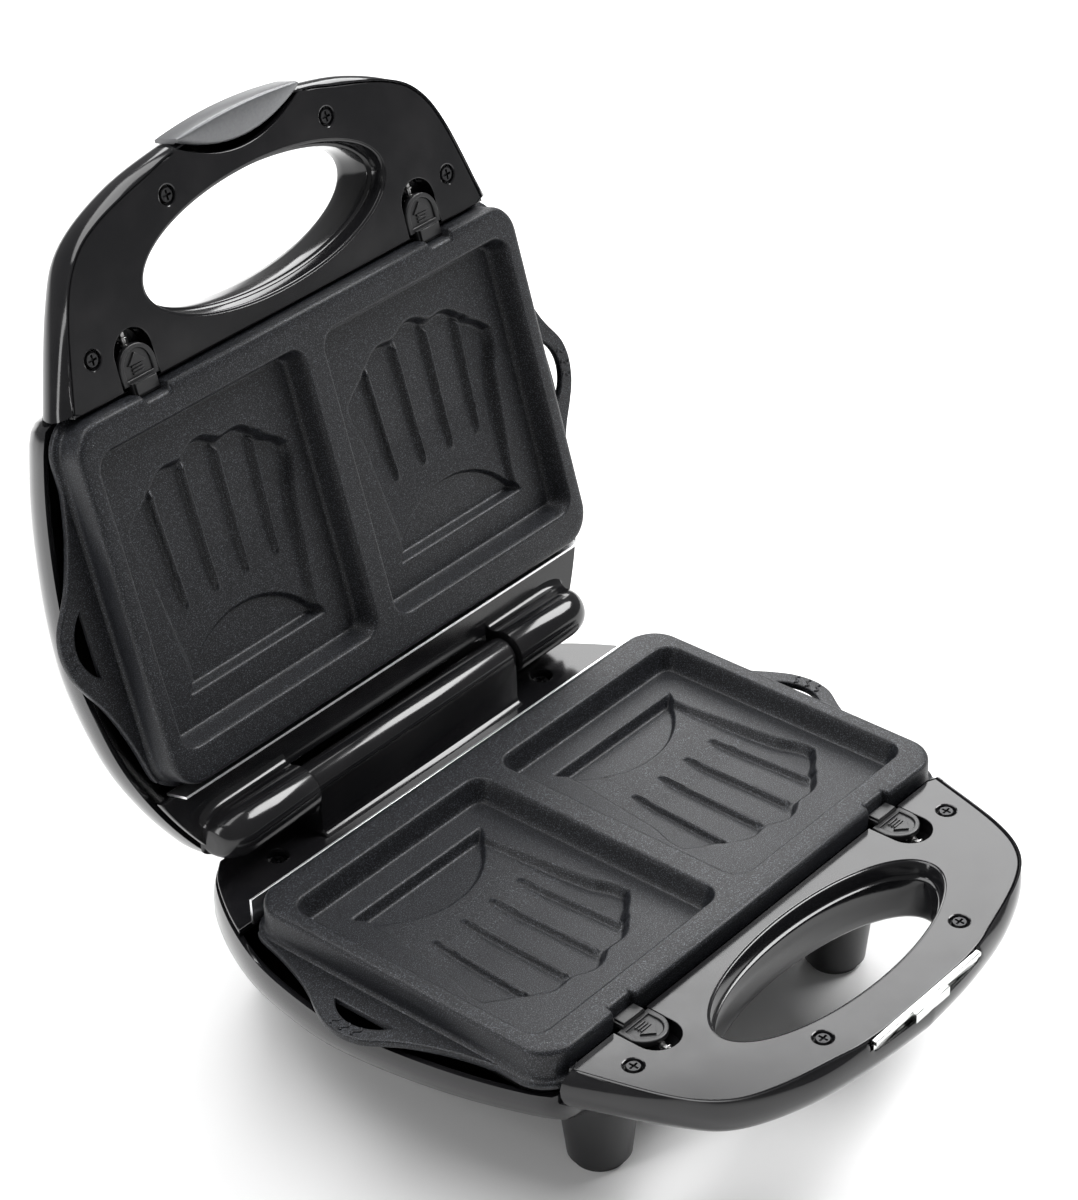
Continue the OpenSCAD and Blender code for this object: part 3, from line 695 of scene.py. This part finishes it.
def plate_outline(inset, notch):
    x0, y0, y1 = PLATE_X - inset, PLATE_FRONT + inset, PLATE_BACK - inset
    r = max(PLATE_R - inset, 2)
    front = []
    for side in (-1, 1):
        c = side * LATCH_X
        front += [(c - NOTCH - 0.6, y0), (c - NOTCH, y0 + notch * 0.25), (c - NOTCH + 0.3, y0 + notch),
                  (c - NOTCH + 2, y0 + notch), (c, y0 + notch), (c + NOTCH - 2, y0 + notch),
                  (c + NOTCH - 0.3, y0 + notch), (c + NOTCH, y0 + notch * 0.25), (c + NOTCH + 0.6, y0)]
    return (arc(-x0 + r, y0 + r, r, 180, 270, 10) + front + arc(x0 - r, y0 + r, r, 270, 360, 10)
            + arc(x0 - r, y1 - r, r, 0, 90, 10) + arc(-x0 + r, y1 - r, r, 90, 180, 10))


def plate_wall():
    levels = [(5.2, RIM - 0.01, 0), (2.4, RIM, 1), (1.3, RIM - 0.18, 1), (0.55, RIM - 0.7, 1),
              (0.12, RIM - 1.6, 1), (0, RIM - 2.4, 1), (0, TAB_Z + 3.0, 1), (0, TAB_Z + 2.4, 0),
              (-0.05, TAB_Z + 1.2, 0), (-0.5, TAB_Z + 0.35, 0), (-1.4, TAB_Z, 0), (-2.2, TAB_Z - 0.3, 0),
              (-2.3, TAB_Z - 2.4, 0), (-1.8, TAB_Z - 3, 0), (2.6, TAB_Z - 3, 0), (2.6, TAB_Z, 0)]
    return loft([ring(plate_outline(inset, 2.6 * n), z) for inset, z, n in levels])


TAB = [(38, 2.2), (34, 4), (22, 7), (10, 11), (1, 15), (-6, 19.2), (-12.5, 22.6), (-18, 24.2),
       (-24, 24.8), (-30, 23.8), (-34.5, 21.7), (-41, 17.2), (-48, 13.4), (-62, 8), (-78, 4.2),
       (-92, 2.2)]


def tab_slab(side):
    edge = [(side * (113 + w), y) for y, w in smooth(TAB, 6)]
    outline = [(side * 112.5, 38)] + edge + [(side * 112.5, -92)]
    t = np.radians(np.linspace(-50, 50, 24))
    slot = [(side * (112.3 + 19.2 * math.cos(a)), -22.8 + 17.6 * math.sin(a)) for a in t]
    return slab([outline, slot], TAB_Z - 3, TAB_Z, 0.7)


def heat_waves(side):
    """Three short waves, the usual sign for a hot surface."""
    waves = []
    for k in (-1, 0, 1):
        t = np.linspace(-1, 1, 13)
        waves.append(strip([(side * (134.4 + 2.3 * u - 0.6 * k * k), -23 + 5 * k + math.sin(3.1 * u))
                            for u in t], 0.5, TAB_Z))
    return waves


for name, half, body in HALVES:
    bumps = heat_waves(1) + heat_waves(-1)
    mesh = joined(plate_top(), plate_wall(), tab_slab(1), tab_slab(-1), *bumps)
    finish_piece(mesh, name + "_cooking_plate", half, body, "nonstick", (name + "_plate",), sharp=85)
print("plates made")

# %% [markdown]
# ## Handle panels
#
# The inner face of a handle is a polished panel in a shallow lip. It has the finger
# opening, dimples for four screws, and two U-shaped bays open to the plate. Bays and
# dimples are cups set under holes, so light falls into them as on the real part.
# The panel is a slab, and its outline takes in the two bays on the plate's side.

# %% Panel outline, bays and dimples
BAY_Y = -113.8
BAY_R = LATCH_R + 0.3


def bay_outline(r, cx, cy=BAY_Y, rear=-102.0):
    return [(cx - r, rear)] + arc(cx, cy, r, 180, 360, 20) + [(cx + r, rear)]


def panel_outline():
    """Straight across its front, where the catch or the clip sits."""
    half = smooth(PANEL_PLAN)
    outline = [(w, y) for y, w in half[::-1]]
    for side in (1, -1):
        outline += bay_outline(BAY_R, side * LATCH_X)[::-1]
    outline += [(-w, y) for y, w in half if w > 0.01]
    return [(x, max(y, CATCH_Y + 0.1) if abs(x) < CLIP_X else y) for x, y in outline]


def cup(outline_at, z_top, z_floor, bottom_r):
    rings = [outline_at(0, z_top), outline_at(0, z_top - 0.3), outline_at(0, z_floor + 0.4),
             outline_at(bottom_r, z_floor)]
    return loft(rings, close_last=True)


def dimple(x, y, z_top, r, depth):
    levels = [(r + 0.5, z_top + 0.01), (r + 0.15, z_top - 0.15), (r, z_top - 0.5),
              (r, z_top - depth + 0.3), (r - 0.3, z_top - depth), (0.4, z_top - depth)]
    return loft([ring(arc(x, y, q, 0, 345, 23), z) for q, z in levels], close_last=True)


def lens_edge(n=40):
    """Inner edge of the clip's well in the lid panel."""
    return [(x, -163.7 - 10.0 * (x / CLIP_X) ** 2) for x in np.linspace(-CLIP_X, CLIP_X, n)]


print("bay radius", BAY_R)

# %% [markdown]
# The lid's panel has a lens-shaped well in its front edge for the clip. Its points
# replace the straight stretch, so the outline first turns to start just after the gap.

# %% The two panels
for name, half, body in HALVES:
    outline = panel_outline()
    if name == "upper":
        kept = [(x, y) for x, y in outline if not (abs(x) <= CLIP_X and y < -160)]
        first = min(i for i, (x, y) in enumerate(kept) if x > CLIP_X and y < -160)
        outline = kept[first:] + kept[:first] + lens_edge()
    holes = [oval(GRIP[0] + 0.4, GRIP[1] + 0.4)]
    for x, y in SCREWS:
        holes += [arc(s * x, y, SCREW_R + 0.2, 0, 345, 23) for s in (1, -1)]
    meshes = [slab([outline] + holes, PANEL_Z - 3, PANEL_Z, 0.35)]
    for s in (1, -1):
        for x, y in SCREWS:
            meshes.append(dimple(s * x, y, PANEL_Z, SCREW_R, 2.0))
        meshes.append(cup(lambda b, z, s=s: [(x, y, z) for x, y in bay_outline(BAY_R - b, s * LATCH_X)],
                          PANEL_Z - 0.1, PANEL_Z - 6.6, 0.4))
    finish_piece(joined(*meshes), name + "_panel", half, body, "black_plastic",
                 (name + "_handle_panel",), sharp=40)
print("panels made")

# %% [markdown]
# ## Latches
#
# Each latch is a button with a round front, a finger well with an arrow and grip bars,
# and a stepped nose that reaches into the plate's notch. A ring, a floor, marks, a nose
# and two side rails, each a slab, are joined. The button is open below, as a moulding
# is, so its spring has room. The lid's buttons swap sides when the half turns over.

# %% Latch buttons
LATCH_CY = -108.5
LATCH_BACK = -103.2


def latch_button():
    r, x, top = LATCH_R, LATCH_X, PANEL_Z + 0.4
    well_r, well_y = 6.3, LATCH_BACK - 2.0
    outline = [(x - r, LATCH_BACK)] + arc(x, LATCH_CY, r, 180, 360, 24) + [(x + r, LATCH_BACK)]
    well = [(x - well_r, well_y)] + arc(x, LATCH_CY - 0.3, well_r, 180, 360, 20) + [(x + well_r, well_y)]
    body_part = slab([outline, well], PANEL_Z - 2.1, top, 0.45)
    floor = slab([well], PANEL_Z - 2.0, top - 0.8, 0.1)
    rails = [slab([rectangle(x + s * 7.3, -109, x + s * 8.4, -103.4)], PANEL_Z - 6.2, PANEL_Z - 1.8, 0.2)
             for s in (1, -1)]
    arrow = [(x, LATCH_CY - 5.4), (x + 4.2, LATCH_CY - 1.4), (x - 4.2, LATCH_CY - 1.4)]
    marks = [slab([arrow], top - 1.1, top - 0.1, 0.18)]
    for k in range(3):
        y = LATCH_CY - 0.6 + 1.3 * k
        marks.append(slab([rectangle(x - 2.6, y - 0.35, x + 2.6, y + 0.35)], top - 1.1, top - 0.15, 0.12))
    nose = slab([rectangle(x - 5.9, -104, x + 5.9, -98.3)], PANEL_Z - 2, PANEL_Z + 1.6, 0.4)
    rib = slab([rectangle(x - 5.2, -104, x + 5.2, -99.4)], PANEL_Z + 1.2, PANEL_Z + 2.6, 0.3)
    return joined(body_part, floor, nose, rib, *rails, *marks)


for name, half, _ in HALVES:
    for side in (1, -1):
        word = "right" if (side > 0) == (name == "lower") else "left"
        piece = f"{name}_latch_{word}"
        mesh = latch_button()
        mesh.transform(Matrix.Scale(side, 4, (1, 0, 0)))
        if side < 0:
            mesh.flip_normals()
        finish_piece(mesh, piece + "_button", half, piece, "black_plastic", (piece,),
                     look="satin_black", sharp=40)
print("latches made")

# %% [markdown]
# ## Clip and catch
#
# The clip is a lens-shaped cap of grey plastic that rolls over the front of the lid's
# handle. Cross sections along its length, each a rounded hook, are lofted, because only
# that lets the cap thin out to its two points. The catch on the lower handle is a bright
# folded strip with a block in its middle, so three thin slabs do.

# %% Clip and catch
CLIP_HALF = 30.6


def clip_mesh(n=56, m=20):
    rings = []
    for u in np.linspace(-1, 1, n):
        front = -179.3 + 2.4 * u * u
        inner = max(-167.2 - 8.2 * u * u, front + 1.6)
        crest = 75.2 + 2.0 * math.sqrt(max(1 - u * u, 0.0))
        path = [(inner, 73.2), (inner - 0.1, 74.5)]
        for t in np.linspace(0.06, 1, m):
            path.append((inner + (front + 0.5 - inner) * t,
                         74.6 + (crest - 74.6) * math.sin(t * math.pi / 2) ** 0.6))
        path += [(front + 0.15, crest - 0.4), (front, crest - 1.3), (front, 64), (front + 0.6, 62.6),
                 (front + 1.9, 62.6), (front + 2.1, 72.5)]
        rings.append([(CLIP_HALF * u, y, z) for y, z in path])
    return loft(rings, close_first=True, close_last=True)


finish_piece(clip_mesh(), "clip_cap", UPPER, "lid_clip", "grey_plastic", ("lid_clip",), sharp=50)
catch = [slab([rectangle(-CATCH_X, -175.4, CATCH_X, CATCH_Y)], 71.9, 73.9, 0.3),
         slab([rectangle(-CATCH_X, -174.3, CATCH_X, CATCH_Y)], 68.4, 73.2, 0.2),
         slab([rectangle(-10, -177, 10, -174)], 68.6, 72.9, 0.4)]
finish_piece(joined(*catch), "catch_strip", LOWER, "base", "chrome", ("latch_catch",), sharp=40)
print("clip and catch made")

# %% [markdown]
# ## Rear decks and the hinge
#
# Behind each plate a flat deck closes the shell and holds two sunk screws. The lower
# deck rises into a long barrel between the two ears of the upper deck. A barrel or an
# ear is one cross section, with a small fillet at its foot, carried along the hinge and
# drawn in a little at its ends, so the narrow gap between them has soft edges. The ears
# have no bore: the pins pass through them out of sight.

# %% Deck, barrel and ear
BARREL_HALF, BARREL_R = 56.2, 7.2
EAR_IN, EAR_R, EAR_FLAT, EAR_ROUND = 57.2, 9.4, 90, 13
DECK_FRONT, DECK_THICK, DECK_GAP_X = 46, 3, 58.2
UPPER_HINGE_Z = 2 * MEET - HINGE_Z


def deck_slab(z, gap):
    half = inward(HALF_PLAN, 0.8)
    w = float(np.interp(DECK_FRONT, half[::-1, 0], half[::-1, 1]))
    half = np.vstack([half[half[:, 0] > DECK_FRONT + 0.5], [(DECK_FRONT, w)]])
    outline = [(w, y) for y, w in half[::-1]]
    if gap:
        back_y = half[0, 0]
        outline += [(DECK_GAP_X, back_y), (DECK_GAP_X, 61), (-DECK_GAP_X, 61), (-DECK_GAP_X, back_y)]
    outline += [(-w, y) for y, w in half]
    holes = [arc(s * DECK_SCREW[0], DECK_SCREW[1], 4.6, 0, 345, 23) for s in (1, -1)]
    pits = [dimple(s * DECK_SCREW[0], DECK_SCREW[1], z, 4.4, z - 62.1) for s in (1, -1)]
    return [slab([outline] + holes, z - DECK_THICK, z, 0.5)] + pits


def barrel():
    def section(x, d):
        y, z, r = DRAWN_HINGE_Y, HINGE_Z, BARREL_R - d
        path = [(y - r - 3, 65.5), (y - r - 2.2, 66.6), (y - r - 0.7, 67.4), (y - r, 69)]
        path += [(y + r * math.cos(a), z + r * math.sin(a)) for a in np.radians(range(180, -1, -10))]
        return [(x, a, b) for a, b in path + [(y + r, 66)]]

    w = BARREL_HALF
    stations = [(-w, 0.7), (-w + 0.3, 0.2), (-w + 0.9, 0), (w - 0.9, 0), (w - 0.3, 0.2), (w, 0.7)]
    return loft([section(x, d) for x, d in stations], close_first=True, close_last=True)


def ear(side, z_deck):
    def section(x, r):
        y, z, fillet = DRAWN_HINGE_Y, UPPER_HINGE_Z - (EAR_R - r), 4.0
        rise = z - z_deck - fillet
        foot = y - math.sqrt((r + fillet) ** 2 - rise ** 2)
        lean = math.atan2(rise, y - foot)
        path = [(foot - 1, z_deck - 0.6)]
        path += [(foot + fillet * math.cos(a), z_deck + fillet + fillet * math.sin(a))
                 for a in np.linspace(-math.pi / 2, lean, 8)]
        path += [(y + r * math.cos(a), z + r * math.sin(a))
                 for a in np.linspace(math.pi + lean, -math.pi / 3, 26)]
        return [(side * x, a, b) for a, b in path + [(y + r, z_deck - 4)]]

    stations = [(EAR_IN, EAR_R - 0.6), (EAR_IN + 0.3, EAR_R - 0.15), (EAR_IN + 0.9, EAR_R)]
    stations += [(EAR_FLAT + EAR_ROUND * math.sin(a), EAR_R * (0.45 + 0.55 * math.cos(a)))
                 for a in np.linspace(0, math.pi / 2, 12)]
    return loft([section(x, r) for x, r in stations], close_first=True, close_last=True)


print("upper hinge, as drawn, at z", round(UPPER_HINGE_Z, 2))

# %% [markdown]
# The lid's deck stands one thickness higher than the lower one. Between deck and plate
# the turned-up edge of the reflector shows as a bright line in both halves, and one
# thin slab of aluminium is enough for it.

# %% The two decks and the reflector edges
for name, half, body in HALVES:
    lower = name == "lower"
    z = DECK_Z if lower else DECK_Z + DECK_THICK
    hinge_parts = [barrel()] if lower else [ear(1, z), ear(-1, z)]
    deck_mesh = joined(*deck_slab(z, not lower), *hinge_parts)
    finish_piece(deck_mesh, name + "_deck", half, body, "black_plastic", (name + "_rear_deck",))
    edge = slab([rectangle(-111, 44.5, 111, 45.5)], 66, 77, 0.2)
    finish_piece(edge, name + "_reflector_edge", half, body, "aluminium")
print("decks made")

# %% [markdown]
# ## Finishes for the parts the frame already shapes well
#
# Pins, screws, springs, feet, lamps and the heating parts keep their CAD shape, so new
# meshes would add nothing. Each gets the finish of its slot in the record. The feet and
# the cord gland get the satin finish, because they come from a rougher tool.

# %% Carried-over nodes
SATIN = {"feet", "cord_gland"}
for part in frame["record"]["subparts"]:
    node = frame["nodes"][part["node"]]
    look = "satin_black" if part["node"] in SATIN else part["material_slot"]
    node.data.materials.clear()
    node.data.materials.append(finishes[look].material)
print(len(frame["nodes"]), "nodes finished")

# %% [markdown]
# ## Floor and light
#
# A pale floor with a soft shadow, and large soft lights whose reflections draw the
# edges of the black plastic. Black gloss shows mostly what it reflects, so the world is
# dim and the lights do the work. The Standard view keeps the blacks black and the floor
# white, where a film-like view would turn both grey.

# %% Stage
floor_finish = Finish("pale_floor")
floor_finish.surface(Base_Color=(0.93, 0.93, 0.93), Roughness=0.9)
floor_mesh = bpy.data.meshes.new("floor")
floor_mesh.from_pydata([(-6, -6, 0), (6, -6, 0), (6, 6, 0), (-6, 6, 0)], [], [(0, 1, 2, 3)])
floor_mesh.materials.append(floor_finish.material)
floor = bpy.data.objects.new("floor", floor_mesh)
bpy.context.scene.collection.objects.link(floor)

world = bpy.data.worlds.new("studio")
bpy.context.scene.world = world
world.use_nodes = True
sky = world.node_tree.nodes["Background"]
sky.inputs["Color"].default_value = (1, 1, 1, 1)
sky.inputs["Strength"].default_value = 0.25


def soft_light(name, place, aim, size, power):
    data = bpy.data.lights.new(name, "AREA")
    data.shape, data.size, data.size_y, data.energy = "RECTANGLE", size[0], size[1], power
    lamp = bpy.data.objects.new(name, data)
    bpy.context.scene.collection.objects.link(lamp)
    lamp.location = place
    lamp.rotation_euler = (Vector(aim) - Vector(place)).to_track_quat("-Z", "Y").to_euler()


soft_light("key", (1.5, -0.6, 1.9), (0, 0, 0.1), (1.1, 1.1), 60)
soft_light("overhead", (-0.2, 0.9, 2.3), (0, 0.1, 0), (2.4, 1.6), 60)
soft_light("right_back", (1.9, 1.6, 1.6), (0, 0, 0.1), (1.8, 1.2), 42)
soft_light("left_strip", (-1.7, 0.5, 0.9), (0, 0.1, 0.2), (0.4, 1.4), 12)
bpy.context.scene.view_settings.view_transform = "Standard"
print("stage ready")
